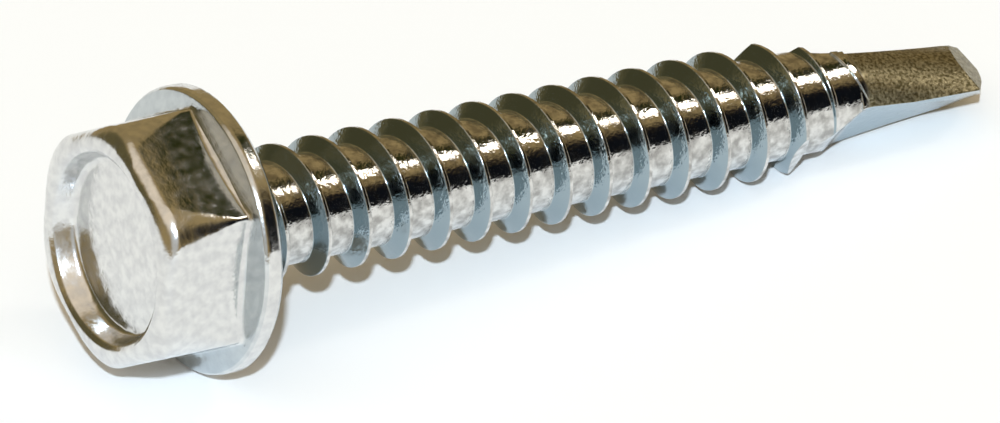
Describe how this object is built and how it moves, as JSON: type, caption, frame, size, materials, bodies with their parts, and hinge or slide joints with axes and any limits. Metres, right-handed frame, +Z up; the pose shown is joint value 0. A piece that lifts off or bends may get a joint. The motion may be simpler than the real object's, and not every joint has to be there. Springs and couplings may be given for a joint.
{
  "type": "self drilling screw",
  "caption": "Hex washer head self drilling screw lying on its side, with a spaced thread along the whole shank and a pinch forged drill point.",
  "frame": {"origin": "middle of the bounding box, at the level of the surface that the screw lies on", "axes": "+Z up; the screw's axis lies over X with the head toward -X and the drill point toward +X, 6.5 degrees lower at the point"},
  "size_m": [0.0354, 0.0098, 0.0098],
  "materials": {
    "zinc_plated_steel": "bright zinc plating over cold forged steel, shiny on the rolled thread and flange, duller and grainier on the forged hex, dish and drill point"
  },
  "bodies": {
    "root": {"self_drilling_screw": "zinc_plated_steel"}
  },
  "joints": []
}
